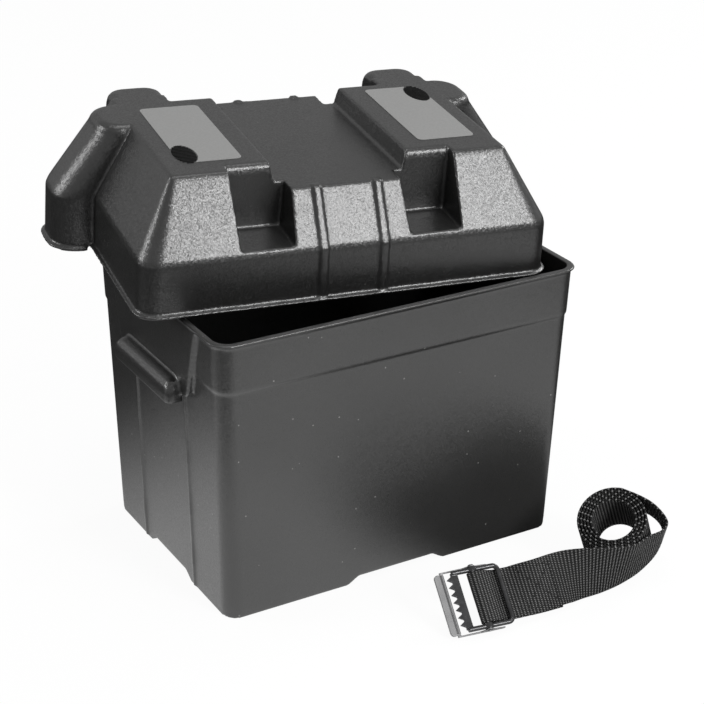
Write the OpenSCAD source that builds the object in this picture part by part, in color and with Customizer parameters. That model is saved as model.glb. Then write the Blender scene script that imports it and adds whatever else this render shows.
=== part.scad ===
// Battery box: a drafted tub with moulded hand grips, a lift-off lid laid askew on its rim,
// and a loose webbing strap with a toothed lever buckle beside it.
// Origin: centre of the tub's underside. +X along the tub, -Y is its front, +Z up. Millimetres.

/* [Tub] */
// Length of the tub over its feet
base_l = 279.8; // [240:0.2:320]
// Width of the tub over its feet
base_w = 192.6; // [165:0.2:220]
// Height of the tub from the floor to the rim
tub_h = 219; // [190:1:260]
// Draft angle of the end walls
draft = 1.5; // [0.5:0.1:2.5]
// Draft angle of the front and rear walls
long_draft = 1.1; // [0.5:0.1:2.5]
// Wall thickness of the tub
tub_wall = 2.6; // [2:0.1:4]
// Radius of the tub's vertical corners
tub_corner_r = 11.5; // [8:0.5:20]
// Height of the wider band below the rim
band_h = 37; // [25:1:45]
// How far the band stands out from the wall
band_step = 1.1; // [0.5:0.1:2]
// How far the rim bead stands out from the band
bead_out = 2.7; // [1:0.1:3]
// Height of the rim bead
bead_h = 2.7; // [2:0.1:5]
// Height of the four corner feet
foot_h = 5.5; // [4:0.1:8]
// Width of the strap channel under the tub, at its roof
strap_channel_w = 64; // [45:1:80]
// Width of the crossing channel under the tub, at its roof
end_channel_w = 50; // [30:1:70]

/* [Hand grips] */
// Length of the apron that hangs from the rim, at the rim
apron_top_l = 142; // [110:1:160]
// Length of the apron at its lower edge
apron_low_l = 116; // [100:1:140]
// Drop of the apron below the rim
apron_drop = 57; // [45:1:70]
// Length of the grip along the apron
grip_l = 94; // [80:1:110]
// How far the grip stands out from the apron
grip_out = 10.5; // [8:0.5:14]
// Height of the grip
grip_h = 17.5; // [14:0.5:22]
// Spacing of the two stiffening ribs on each end wall
end_rib_pitch = 84; // [60:1:100]

/* [Lid] */
// Height of the lid's skirt up to the fold
skirt_h = 39; // [30:1:45]
// Height of the two raised decks
deck_h = 90.1; // [80:0.2:110]
// Height of the strap saddle between the decks
saddle_h = 76.5; // [65:0.5:90]
// Wall thickness of the lid
lid_wall = 2.4; // [1.8:0.1:3.5]
// Clearance between the lid's skirt and the rim bead
lid_gap = 1.6; // [0.5:0.1:2]
// Width of the flange around the lid's lower edge
flange_out = 3; // [2:0.1:5]
// Length over the two decks
deck_l = 250.4; // [220:0.2:270]
// Width of the decks, front to back
deck_w = 156.6; // [130:1:180]
// Width of the saddle between the decks
saddle_w = 96.6; // [70:1:120]
// Clear width between the webbing guides
guide_gap = 39.8; // [38.5:0.1:52]
// Width of one webbing guide
guide_w = 5.5; // [3:0.1:8]
// Reach of the cable hoods beyond the middle of the lid
hood_reach = 181.3; // [165:0.1:195]

/* [Strap] */
// Width of the webbing
web_w = 38; // [25:1:50]
// Thickness of the webbing
web_t = 1.6; // [1.2:0.1:2]
// Turns in the roll
roll_turns = 4.4; // [2:0.1:5]
// Distance from one turn of the roll to the next
roll_pitch = 2.4; // [2.1:0.1:3]
// Diameter of the buckle's bars
bar_d = 3.6; // [3:0.1:4.5]
// Length of the buckle frame along the strap
buckle_l = 38; // [32:1:45]
// Width of the buckle frame across the strap
buckle_w = 46; // [44:1:56]
// Teeth on the buckle's gripping bar
teeth = 7; // [5:1:8]

/* [Hidden] */
black_pp = [0.17, 0.17, 0.17];
label_grey = [0.55, 0.55, 0.54];
web_black = [0.1, 0.1, 0.1];
smoke_metal = [0.3, 0.3, 0.31];

arc_n = 9;      // steps in each rounded corner of a moulded outline
eps = 0.01;

// Derived sizes of the tub: half lengths and half widths
slope = tan(draft);
slope_y = tan(long_draft);
band_z = tub_h - band_h;
wall_x = base_l / 2;
wall_y = base_w / 2;
band_x = wall_x + slope * band_z + band_step;
band_y = wall_y + slope_y * band_z + band_step;
rim_x = wall_x + slope * tub_h + band_step + bead_out;
rim_y = wall_y + slope_y * tub_h + band_step + bead_out;

// Derived sizes of the lid
skirt_x = rim_x + lid_gap + lid_wall;
skirt_y = rim_y + lid_gap + lid_wall;
skirt_r = 14.5;
deck_r = 2.5;
hood_y0 = 17.5;      // front wall of a cable hood
hood_y1 = 70.7;      // rear wall of a cable hood
pocket_x0 = 43.2;    // inner wall of a strap-side pocket, at its floor
pocket_x1 = 82.2;    // outer wall of a strap-side pocket, at its floor
pocket_y = 68.5;     // rear wall of a pocket at deck height
pocket_z = 44;       // floor of a pocket at its rear wall
horn_x1 = 124.4;     // outer wall of a rear horn
lid_pos = [-8.4, 39.5, 224.3];
lid_turn = [3.33, 1.48, -8.55];

// Where the strap lies: the buckle's plane, the roll's centre and its lean
buckle_pos = [-1, -181, 21];
buckle_yaw = -9;
buckle_lean = 50;
across_u = [cos(buckle_yaw), sin(buckle_yaw), 0];
back_h = [-sin(buckle_yaw), cos(buckle_yaw), 0];
across_v = cos(buckle_lean) * [0, 0, 1] + sin(buckle_lean) * back_h;
across_n = cross(across_u, across_v);
pin_u = 17;
pin_d = 3;
layer_gap = 0.3;
run_n = -(bar_d / 2 + web_t / 2 + 0.3);
tail_n = run_n - web_t - layer_gap;
tail_ring = 9;       // ring of the run where the sewn tail ends
tail_drop = 1.4;     // how far the tail's end lies below the layer in front of it
fold_r = pin_d / 2 + 0.5 + web_t / 2;

roll_pos = [154.9, -164.2, 14.7];
roll_axis = unit([-0.549, -0.348, 1]);
roll_e1 = unit(cross([0.509, 0.861, 0], roll_axis));
roll_e2 = cross(roll_axis, roll_e1);
roll_r = 26.4;
roll_from = 64;      // angle at which the outermost turn peels off
roll_steps = 24;

function unit(v) = v / norm(v);

// ---- outlines and lofts -------------------------------------------------------------

// One rounded rectangle, x0..x1 by y0..y1 with corner radius r, at height z
function ring(z, x0, x1, y0, y1, r) =
    [for (c = [[x1 - r, y1 - r, 0], [x0 + r, y1 - r, 90], [x0 + r, y0 + r, 180], [x1 - r, y0 + r, 270]])
        for (k = [0:arc_n])
            [c[0] + r * cos(c[2] + 90 * k / arc_n), c[1] + r * sin(c[2] + 90 * k / arc_n), z]];

function centred(z, hx, hy, r) = ring(z, -hx, hx, -hy, hy, r);

// A closed solid through a stack of rings that have the same number of points; a banded one has
// two rows of points facing each other in each ring
module loft(rings, banded = false) {
    n = len(rings[0]);
    m = len(rings);
    sides = [for (j = [0:m - 2], i = [0:n - 1], t = [0, 1])
        let (a = j * n + i, b = j * n + (i + 1) % n)
            t == 0 ? [a, b + n, b] : [a, a + n, b + n]];
    cap = banded ? [for (i = [0:n / 2 - 2], j = [[i + 1, n - 2 - i], [n - 2 - i, n - 1 - i]]) [i, j[0], j[1]]]
                 : [for (i = [1:n - 2]) [0, i, i + 1]];
    top = [for (f = cap) [(m - 1) * n + f[0], (m - 1) * n + f[2], (m - 1) * n + f[1]]];
    polyhedron(points = [for (r = rings) for (p = r) p], faces = concat(cap, sides, top));
}

// ---- tub ----------------------------------------------------------------------------

module tub_outside() {
    r = tub_corner_r;
    loft([
        centred(foot_h - eps, wall_x + slope * foot_h, wall_y + slope_y * foot_h, r),
        centred(band_z, wall_x + slope * band_z, wall_y + slope_y * band_z, r),
        centred(band_z + eps, band_x, band_y, r + band_step),
        centred(tub_h - bead_h, rim_x - bead_out, rim_y - bead_out, r + band_step),
        centred(tub_h - bead_h + 0.8, rim_x - 0.3, rim_y - 0.3, r + band_step + bead_out),
        centred(tub_h - 1, rim_x, rim_y, r + band_step + bead_out),
        centred(tub_h, rim_x - 0.9, rim_y - 0.9, r + band_step + bead_out - 0.9)
    ]);
}

module tub_inside() {
    r = tub_corner_r - tub_wall + 2;
    in_x = wall_x - tub_wall;
    in_y = wall_y - tub_wall;
    floor_z = foot_h + tub_wall;
    loft([
        centred(floor_z, in_x + slope * floor_z - 3, in_y + slope_y * floor_z - 3, r - 3),
        centred(floor_z + 3, in_x + slope * floor_z, in_y + slope_y * floor_z, r),
        centred(band_z, in_x + slope * band_z, in_y + slope_y * band_z, r),
        centred(band_z + 4, band_x - tub_wall, band_y - tub_wall, r + band_step),
        centred(tub_h + 1, rim_x - bead_out - tub_wall, rim_y - bead_out - tub_wall, r + band_step)
    ]);
}

// The tub stands on its four corners: a strap channel and a crossing channel run under it
module foot_outline() {
    x = wall_x - tub_corner_r;
    y = wall_y - tub_corner_r;
    square([2 * x, 2 * wall_y], center = true);
    square([2 * wall_x, 2 * y], center = true);
    for (sx = [-1, 1], sy = [-1, 1])
        translate([sx * x, sy * y])
            circle(tub_corner_r, $fn = 48);
}

module channel(w, l) {
    flare = 9;
    rotate([90, 0, 0])
        linear_extrude(l, center = true)
            polygon([[-w / 2 - flare - 2, -1], [-w / 2 - flare, 0], [-w / 2, foot_h],
                     [w / 2, foot_h], [w / 2 + flare, 0], [w / 2 + flare + 2, -1]]);
}

module feet() {
    difference() {
        linear_extrude(foot_h)
            foot_outline();
        channel(strap_channel_w, base_w + 20);
        rotate([0, 0, 90])
            channel(end_channel_w, base_l + 20);
    }
}

// Two upright ribs stiffen each end wall under the grip
module end_ribs() {
    rib_w = 2;
    rib_out = 1.5;
    rib_top = tub_h - apron_drop + 3;
    for (s = [-1, 1])
        translate([wall_x, s * end_rib_pitch / 2, 0.3])
            rotate([0, draft, 0])
                translate([-1, -rib_w / 2, 0])
                    cube([1 + rib_out, rib_w, rib_top]);
}

// Apron and awning grip at the +X end; fingers go up behind the awning
grip_top = tub_h - 46;
module apron() {
    t = 2.6;
    drop_r = 7;
    lx = apron_low_l / 2 - drop_r;
    translate([rim_x - t, 0, 0])
        rotate([90, 0, 90])
            linear_extrude(t)
                union() {
                    polygon([[-apron_top_l / 2, tub_h - 1],
                             [-lx - drop_r * 0.98, tub_h - apron_drop + drop_r],
                             [lx + drop_r * 0.98, tub_h - apron_drop + drop_r],
                             [apron_top_l / 2, tub_h - 1]]);
                    translate([-lx, tub_h - apron_drop])
                        square([2 * lx, drop_r + 1]);
                    for (s = [-1, 1])
                        translate([s * lx, tub_h - apron_drop + drop_r])
                            circle(drop_r, $fn = 40);
                }
}

// One level of the awning: depth and half length follow a quarter round
function awning_ring(a, t) =
    let (d = (grip_out - t) * cos(a), l = grip_l / 2 - t - 10 * (1 - cos(a)),
         z = grip_top - grip_h + 7 + (grip_h - 7 - t) * sin(a))
        ring(z, rim_x - 6, rim_x + max(d, 0.4), -l, l, min(5.5, (6 + max(d, 0.4)) / 2.2));

module awning(t) {
    low = t == 0 ? grip_top - grip_h : grip_top - grip_h - 5;
    l = grip_l / 2 - t;
    loft(concat(
        [ring(low, rim_x - 6, rim_x + grip_out - t, -l, l, 5.5)],
        [for (a = [0, 25, 50, 72, 90]) awning_ring(a, t)]
    ));
}

module grip() {
    difference() {
        union() {
            apron();
            intersection() {
                awning(0);
                translate([rim_x - 1.5, -grip_l, 0])
                    cube([grip_out + 10, 2 * grip_l, tub_h]);
            }
        }
        awning(2.2);
    }
}

module tub() {
    color(black_pp)
        difference() {
            union() {
                tub_outside();
                feet();
                for (a = [0, 180])
                    rotate([0, 0, a]) {
                        end_ribs();
                        grip();
                    }
            }
            tub_inside();
        }
}

// ---- lid, built level at the origin --------------------------------------------------

// The lid's main form; t is the distance inside the outer skin
module lid_main(t) {
    dx = deck_l / 2 - t;
    dy = deck_w / 2 - t;
    sx = skirt_x - t;
    sy = skirt_y - t;
    r = skirt_r - t;
    rd = max(deck_r - t, 1.5);
    loft(concat(
        t == 0 ? [centred(0, sx + flange_out, sy + flange_out, r + flange_out),
                  centred(2.2, sx + flange_out, sy + flange_out, r + flange_out),
                  centred(2.2 + eps, sx, sy, r)]
               : [centred(-1, sx, sy, r)],
        [centred(skirt_h - 2, sx - 0.6, sy - 0.6, r),
         centred(skirt_h + 2, sx - 1.6, sy - 1.6, r),
         centred(deck_h - t - 3, dx + 1, dy + 1, rd + 2),
         centred(deck_h - t - 0.8, dx - 0.6, dy - 0.6, rd),
         centred(deck_h - t, dx - 2, dy - 2, rd)]
    ));
}

// A cable hood at the +X end: open below, so a cable leaves between it and the tub
module hood(t) {
    x1 = hood_reach - t;
    y0 = hood_y0 + t;
    y1 = hood_y1 - t;
    r = 20 - t;
    x0 = 90;
    loft(concat(
        [ring(t == 0 ? 0 : -1, x0, x1, y0, y1, r),
         ring(37.5, x0, x1 - 1.1, y0, y1, r),
         ring(41, x0, x1 - 2.6, y0, y1 - 0.2, r),
         ring(45, x0, x1 - 5.2, y0, y1 - 0.5, r),
         ring(50, x0, x1 - 8.7, y0 + 0.2, y1 - 0.8, r),
         ring(deck_h - t - 7, x0, 147.8 - t, y0 + 1.2, y1 - 1.6, 18 - t),
         ring(deck_h - t - 4, x0, 146.6 - t, y0 + 1.8, y1 - 2.8, 17 - t),
         ring(deck_h - t - 1.6, x0, 145 - t, y0 + 3, y1 - 4.6, 16 - t),
         ring(deck_h - t, x0, 141.5 - t, y0 + 5.4, y1 - 7.6, 14 - t)]
    ));
}

// The hood's lower lip hangs a little below the lid's flange
module hood_lip() {
    lip_x = 158;
    function flat(x1, y0, y1, r) = [for (p = ring(0, 90, x1, y0, y1, r)) [p[0], p[1]]];
    f = flange_out;
    t = lid_wall;
    translate([0, 0, -2.4])
        linear_extrude(2.5)
            intersection() {
                difference() {
                    polygon(flat(hood_reach + f, hood_y0 - f, hood_y1 + f, 20 + f));
                    polygon(flat(hood_reach - t, hood_y0 + t, hood_y1 - t, 20 - t));
                }
                translate([lip_x, 0])
                    square([40, 120]);
            }
}

// A rear horn: the deck runs out to the lid's back wall
module horn(t) {
    x0 = pocket_x1 + t;
    x1 = horn_x1 - t;
    y1 = skirt_y - 6.7 - t;
    loft([
        ring(skirt_h - 4, x0 - 1, x1 + 1, 40, y1 + 1.6, 11),
        ring(deck_h - t - 9, x0, x1, 40, y1, 12),
        ring(deck_h - t - 4, x0 + 0.8, x1 - 0.8, 40, y1 - 1.4, 12),
        ring(deck_h - t - 1.4, x0 + 2.6, x1 - 2.6, 40, y1 - 3.6, 11),
        ring(deck_h - t, x0 + 5.4, x1 - 5.4, 40, y1 - 7, 9)
    ]);
}

module saddle_cut(t) {
    low = saddle_w / 2 + t;
    rotate([90, 0, 0])
        linear_extrude(400, center = true)
            polygon([[-low, saddle_h - t], [low, saddle_h - t], [low + 3.5, deck_h + 3],
                     [-low - 3.5, deck_h + 3]]);
}

// A pocket under the inner corner of a deck, at the front (side = 1) or the rear (side = -1)
// Its side walls have draft, so it is wider at the top
module pocket_cut(t, side) {
    back = side == 1 ? pocket_y : pocket_y - 3.3;
    intersection() {
        rotate([90, 0, 90])
            linear_extrude(120)
                scale([side, 1])
                    polygon([[-140, pocket_z - 4 - t], [-back - 3.2 + t, pocket_z - t],
                             [-back - 1.2 + t, deck_h - 7], [-back - 0.4 + t, deck_h - 3],
                             [-back + 1 + t, deck_h - 1], [-back + 3.4 + t, deck_h + 0.2],
                             [-back + 4 + t, deck_h + 5], [-140, deck_h + 5]]);
        rotate([90, 0, 0])
            linear_extrude(300, center = true)
                polygon([[pocket_x0 + 0.5 - t, pocket_z - 9], [pocket_x0 - 3.6 - t, deck_h + 6],
                         [pocket_x1 + 1.7 + t, deck_h + 6], [pocket_x1 - 0.3 + t, pocket_z - 9]]);
    }
}

module lid_form(t) {
    difference() {
        union() {
            lid_main(t);
            for (s = [0, 1])
                mirror([s, 0, 0]) {
                    hood(t);
                    horn(t);
                }
        }
        saddle_cut(t);
        for (s = [0, 1], side = [-1, 1])
            mirror([s, 0, 0])
                pocket_cut(t, side);
    }
}

// Guides up the front and the rear wall keep the webbing in the middle of the lid
module guides() {
    out = 1.3;
    top = saddle_h + 1.1;
    k = (skirt_y - deck_w / 2) / (deck_h - skirt_h);
    y_top = skirt_y - k * (top - skirt_h) + 0.2;
    for (s = [-1, 1], side = [-1, 1])
        translate([s * (guide_gap + guide_w) / 2, 0, 0])
            scale([1, 1, 1])
                rotate([90, 0, 90])
                    linear_extrude(guide_w, center = true)
                        polygon([[side * (skirt_y - 4), 1], [side * (skirt_y + out), 1],
                                 [side * (skirt_y + out - 0.6), skirt_h], [side * (y_top + out), top],
                                 [side * (y_top - 4), top], [side * (skirt_y - 4), skirt_h - 4]]);
}

// Low ridges in an oval at one corner of each label
ridge_pitch = 2.4;
oval_a = 8;
oval_b = 16;
oval_pos = [-15.4, -38];    // from the middle of its label
label_pos = [[-89, -3.4], [89.5, -0.3]];
module oval_ridges() {
    for (i = [0, 1])
        translate(concat(label_pos[i], deck_h - 0.5))
            rotate([0, 0, 180 * i])
                for (k = [-6:6])
                    let (y = k * ridge_pitch, w = oval_a * sqrt(1 - pow(y / oval_b, 2)))
                        translate([oval_pos[0] - w, oval_pos[1] + y - 0.6, 0])
                            cube([2 * w, 1.2, 1.1]);
}

module place_lid() {
    translate(lid_pos)
        rotate(lid_turn)
            children();
}

module lid() {
    color(black_pp)
        place_lid() {
            difference() {
                union() {
                    lid_form(0);
                    guides();
                    for (s = [0, 1])
                        mirror([s, 0, 0])
                            hood_lip();
                }
                lid_form(lid_wall);
            }
            oval_ridges();
        }
}

// ---- labels ----------------------------------------------------------------------------

label_w = 44.4;
label_l = 106.4;
label_t = 0.4;

// i = 0 is the left label, i = 1 the right one, turned half round
module label(i) {
    r = 4;
    color(label_grey)
        place_lid()
            translate(concat(label_pos[i], deck_h))
                rotate([0, 0, 180 * i])
                    linear_extrude(label_t)
                        difference() {
                            union() {
                                square([label_w - 2 * r, label_l], center = true);
                                square([label_w, label_l - 2 * r], center = true);
                                for (sx = [-1, 1], sy = [-1, 1])
                                    translate([sx * (label_w / 2 - r), sy * (label_l / 2 - r)])
                                        circle(r, $fn = 32);
                            }
                            translate(oval_pos) {
                                polygon([for (q = [0:10:350])
                                    [(oval_a + 0.8) * cos(q), (oval_b + 0.8) * sin(q)]]);
                                translate([-oval_a - 2, -oval_b - 3])
                                    square([oval_a + 2, oval_b]);
                            }
                        }
}

module label_left() {
    label(0);
}

module label_right() {
    label(1);
}

// ---- strap -----------------------------------------------------------------------------

// Point u along the strap, n towards the viewer, in the buckle's plane
function in_buckle(u, n) = buckle_pos + u * across_u + n * across_n;

// The free run: points of its lower edge, and the way the webbing leans there
run_low = [[60.7, -201.3, 5.4], [81.1, -200.5, 4.9], [97.3, -196.5, 1.8], [116.8, -196.2, 1.6],
    [136.2, -194.1, 2.5], [156.3, -190.1, 5.2], [176.7, -183.1, 12], [188.3, -173.6, 23],
    [183.3, -160.5, 31.1]];
run_lean = [[0.01, 0.74, 1], [0.04, 0.71, 1], [0.07, 0.27, 1], [0.02, -0.03, 1], [0, -0.24, 1],
            [-0.14, -0.3, 1], [-0.39, -0.58, 1], [-0.71, -0.93, 1], [-0.67, -0.86, 1]];
run_knots = concat(
    [for (u = [34, 44]) [in_buckle(u, run_n), across_v]],
    [for (i = [0:len(run_low) - 1]) [run_low[i] + web_w / 2 * unit(run_lean[i]), unit(run_lean[i])]],
    [for (k = [0, 1]) spiral(k)]
);

// Roll: one flat spiral, wound inwards from the turn that peels off
function spiral(k) =
    let (a = roll_from + 360 * k / roll_steps, r = roll_r - roll_pitch * k / roll_steps)
        [roll_pos + r * cos(a) * roll_e1 + r * sin(a) * roll_e2 + web_w / 2 * roll_axis, roll_axis];

function blend(a, b, c, d, t) =
    0.5 * (2 * b + (c - a) * t + (2 * a - 5 * b + 4 * c - d) * t * t + (3 * b - a - 3 * c + d) * t * t * t);

run_steps = 5;
run_rings = [for (i = [1:len(run_knots) - 3], k = [0:run_steps - 1])
    let (q = [for (j = [-1:2]) run_knots[i + j]], t = k / run_steps)
        [blend(q[0][0], q[1][0], q[2][0], q[3][0], t), unit(blend(q[0][1], q[1][1], q[2][1], q[3][1], t))]];

// The way a face of the webbing looks at ring i of a list of rings
function facing(rings, i) =
    unit(cross(rings[min(i + 1, len(rings) - 1)][0] - rings[max(i - 1, 0)][0], rings[i][1]));

// Rings of the folded end: the sewn tail behind the run, the fold round the pin, and the layer on top
function behind(i) =
    [run_rings[i][0] - (web_t + layer_gap) * facing(run_rings, i)
        - tail_drop * max(i - 2, 0) / (tail_ring - 2) * run_rings[i][1], run_rings[i][1]];
fold_rings = concat(
    [for (i = [tail_ring:-1:1]) behind(i)],
    [for (p = [[44, tail_n], [37, tail_n], [30, tail_n], [24, -3.7]]) [in_buckle(p[0], p[1]), across_v]],
    [for (a = [-90:-30:-270]) [in_buckle(pin_u + fold_r * cos(a), fold_r * sin(a)), across_v]],
    [for (p = [[22, 2.0], [27, 0.1], [32, -2.4], [36, run_n]]) [in_buckle(p[0], p[1]), across_v]]
);
roll_rings = [for (k = [0:round(roll_turns * roll_steps)]) spiral(k)];
web_rings = concat(fold_rings, run_rings, roll_rings);
run_count = len(fold_rings) + len(run_rings);

// The outline of the webbing's section at ring i, with `parts` panels across its width
function web_section(i, parts) =
    let (w = web_rings[i][1], n = facing(web_rings, i), c = web_rings[i][0])
        concat([for (k = [0:parts]) c + w * web_w * (k / parts - 0.5) - n * web_t / 2],
               [for (k = [parts:-1:0]) c + w * web_w * (k / parts - 0.5) + n * web_t / 2]);

module webbing(first, last, parts) {
    color(web_black)
        loft([for (i = [first:last]) web_section(i, parts)], banded = true);
}

module webbing_roll() {
    webbing(run_count, len(web_rings) - 1, 1);
}

module webbing_run() {
    webbing(0, run_count, 4);
}

// Least gap between turns and between the run and the roll, measured on the centre line
far = 12;
web_gap = min([for (i = [0:len(web_rings) - 1 - far], j = [i + far:len(web_rings) - 1])
    norm(web_rings[i][0] - web_rings[j][0])]) - web_t;
echo(least_webbing_gap = web_gap);
web_length = [for (i = 1, s = 0; i < len(web_rings);
    s = s + norm(web_rings[i][0] - web_rings[i - 1][0]), i = i + 1) s];
echo(webbing_length = web_length[len(web_length) - 1]);

// Children are drawn in the buckle's plane: x along the strap, y across it, z to the viewer
module in_buckle_plane() {
    translate(buckle_pos)
        rotate([0, 0, buckle_yaw])
            rotate([90 - buckle_lean, 0, 0])
                children();
}

// A point on the run's outer face: i rings along it (a real number), v across it, h above it
function on_run(i, v, h) =
    let (a = min(floor(i), len(run_rings) - 2), t = i - a, p = run_rings[a], q = run_rings[a + 1],
         n = unit((1 - t) * facing(run_rings, a) + t * facing(run_rings, a + 1)))
        (1 - t) * (p[0] + v * p[1]) + t * (q[0] + v * q[1]) + (web_t / 2 + h) * n;

// One line of stitching from [i, v] to [i, v], drawn as a low ridge
module stitch_line(from, to, wide) {
    n = 8;
    along = to[0] != from[0];
    side = wide / 2 * (along ? [0, 1] : [0.25, 0]);
    loft([for (k = [0:n])
        let (p = from + (to - from) * k / n, a = p - side, b = p + side)
            along ? [on_run(a[0], a[1], stitch_low), on_run(b[0], b[1], stitch_low),
                     on_run(b[0], b[1], stitch_high), on_run(a[0], a[1], stitch_high)]
                  : [on_run(b[0], b[1], stitch_low), on_run(a[0], a[1], stitch_low),
                     on_run(a[0], a[1], stitch_high), on_run(b[0], b[1], stitch_high)]]);
}

// Box stitch with a cross in it, through both layers
stitch_low = 0.16;
stitch_high = 0.45;
stitch_v = 14.5;
stitch_i = [2, 8.4];
module strap_stitching() {
    color(web_black) {
        for (s = [-1, 1])
            stitch_line([stitch_i[0] - 0.1, s * stitch_v], [stitch_i[1] + 0.1, s * stitch_v], 0.8);
        for (i = stitch_i)
            stitch_line([i, -stitch_v], [i, stitch_v], 0.8);
        for (s = [-1, 1])
            stitch_line([stitch_i[0], -s * stitch_v], [stitch_i[1], s * stitch_v], 0.8);
    }
}

// Bent-bar frame: two sides, one end bar and a flat toothed bar that grips the webbing
side_y = (buckle_w - bar_d) / 2;
tooth_pitch = 5.6;
bend_r = 3.6;
module buckle_frame() {
    end_x = buckle_l - bar_d / 2;
    side_l = end_x - bend_r - 1.2;
    color(smoke_metal)
        in_buckle_plane()
            difference() {
                union() {
                    for (s = [-1, 1]) {
                        translate([1.2, s * side_y, 0])
                            rotate([0, 90, 0])
                                cylinder(d = bar_d, h = side_l, $fn = 28);
                        translate([pin_u, s * side_y - bar_d / 2, 0])
                            rotate([-90, 0, 0])
                                cylinder(d = 6.4, h = bar_d, $fn = 32);
                        translate([end_x - bend_r, s * (side_y - bend_r), 0])
                            rotate([0, 0, s == 1 ? 0 : -90])
                                rotate_extrude(angle = 90, $fn = 48)
                                    translate([bend_r, 0])
                                        circle(d = bar_d, $fn = 28);
                    }
                    translate([end_x, side_y - bend_r, 0])
                        rotate([90, 0, 0])
                            cylinder(d = bar_d, h = 2 * (side_y - bend_r), $fn = 28);
                    translate([0, 0, -0.9])
                        linear_extrude(1.8)
                            polygon(concat(
                                [[5.2, side_y], [5.2, -side_y], [0, -side_y]],
                                [for (k = [0:teeth - 1], e = [0, 1, 2])
                                    let (y = (k - (teeth - 1) / 2) * tooth_pitch)
                                        [[0, y - 2.3], [-3.8, y], [0, y + 2.3]][e]],
                                [[0, side_y]]));
                }
                translate([pin_u, 0, 0])
                    rotate([90, 0, 0])
                        cylinder(d = pin_d + 0.1, h = buckle_w + 2, center = true, $fn = 32);
            }
}

// The pin that the lever turns on; the webbing is folded round its middle
module lever_pin() {
    color(smoke_metal)
        in_buckle_plane()
            translate([pin_u, 0, 0])
                rotate([90, 0, 0]) {
                    cylinder(d = pin_d, h = lever_w + 0.6, center = true, $fn = 32);
                    for (s = [-1, 1])
                        translate([0, 0, s * (lever_w / 2 + 0.5)])
                            cylinder(d = 3.9, h = 0.5, center = true, $fn = 32);
                }
}

// U-shaped lever: a thumb plate in front of the teeth and an arm down each side
lever_w = buckle_w + 2.4;
arm_t = 0.9;
plate_w = lever_w - 2.6;
module buckle_lever() {
    color(smoke_metal * 1.3)
        in_buckle_plane()
            difference() {
                union() {
                    for (s = [-1, 1])
                        translate([0, s * (lever_w - arm_t) / 2, 0])
                            rotate([90, 0, 0])
                                linear_extrude(arm_t, center = true)
                                    union() {
                                        polygon([[-6.4, -4.6], [-6.4, -3], [pin_u - 6, -1.6], [pin_u, 2.2],
                                                 [pin_u + 3, -0.4], [pin_u + 13, -2.4], [pin_u + 12, -4.2],
                                                 [pin_u, -4.6]]);
                                        translate([pin_u, 0])
                                            circle(2.6, $fn = 40);
                                    }
                    translate([0, 0, -4.6])
                        linear_extrude(1.6)
                            union() {
                                translate([-11.3, -plate_w / 2 + 3])
                                    square([7.3, plate_w - 6]);
                                translate([-6.4, -lever_w / 2])
                                    square([2.4, lever_w]);
                                for (s = [-1, 1])
                                    translate([-8.3, s * (plate_w / 2 - 3)])
                                        circle(3, $fn = 32);
                            }
                    translate([-5.2, 0, -2.8])
                        rotate([90, 0, 0])
                            cylinder(d = 2.4, h = plate_w - 2, center = true, $fn = 24);
                }
                translate([pin_u, 0, 0])
                    rotate([90, 0, 0])
                        cylinder(d = pin_d + 0.1, h = lever_w + 2, center = true, $fn = 32);
            }
}

tub();
lid();
label_left();
label_right();
webbing_roll();
webbing_run();
strap_stitching();
buckle_frame();
lever_pin();
buckle_lever();
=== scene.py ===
import math
import bmesh
import bpy
import numpy as np
from mathutils import Matrix, Vector


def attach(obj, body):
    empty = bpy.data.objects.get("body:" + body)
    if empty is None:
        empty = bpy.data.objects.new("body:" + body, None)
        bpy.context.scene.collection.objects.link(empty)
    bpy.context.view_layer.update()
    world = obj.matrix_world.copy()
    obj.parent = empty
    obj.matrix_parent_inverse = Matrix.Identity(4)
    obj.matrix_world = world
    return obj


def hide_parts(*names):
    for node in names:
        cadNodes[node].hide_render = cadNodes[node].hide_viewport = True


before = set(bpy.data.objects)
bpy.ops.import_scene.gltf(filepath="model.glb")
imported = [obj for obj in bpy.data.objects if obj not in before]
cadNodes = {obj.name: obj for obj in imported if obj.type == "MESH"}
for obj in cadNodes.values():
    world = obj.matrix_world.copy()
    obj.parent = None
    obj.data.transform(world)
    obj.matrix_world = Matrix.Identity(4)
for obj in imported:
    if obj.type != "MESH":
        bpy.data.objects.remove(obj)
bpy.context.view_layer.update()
scene = bpy.context.scene


# camera: the photograph's own viewpoint

cameraSetup = {
    "place": (-0.6290, -1.0900, 0.7339),
    "right": (0.8638, -0.5036, 0.0134),
    "up": (0.2040, 0.3741, 0.9047),
    "forward": (0.4606, 0.7787, -0.4259),
    "lens": 94.14,
    "sensor": 36.0,
    "clip": (0.05, 50.0),
}


def makeCamera(setup):
    data = bpy.data.cameras.new("photoCamera")
    data.lens = setup["lens"]
    data.sensor_width = setup["sensor"]
    data.clip_start, data.clip_end = setup["clip"]
    camera = bpy.data.objects.new("photoCamera", data)
    scene.collection.objects.link(camera)
    turn = Matrix((setup["right"], setup["up"], [-v for v in setup["forward"]])).transposed()
    camera.matrix_world = Matrix.Translation(setup["place"]) @ turn.to_4x4()
    scene.camera = camera


makeCamera(cameraSetup)
print("camera placed")


# small helpers for meshes, modifiers and materials

def addObject(name, mesh):
    piece = bpy.data.objects.new(name, mesh)
    scene.collection.objects.link(piece)
    return piece


def evaluated(piece):
    graph = bpy.context.evaluated_depsgraph_get()
    graph.update()
    return bpy.data.meshes.new_from_object(piece.evaluated_get(graph), depsgraph=graph)


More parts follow.
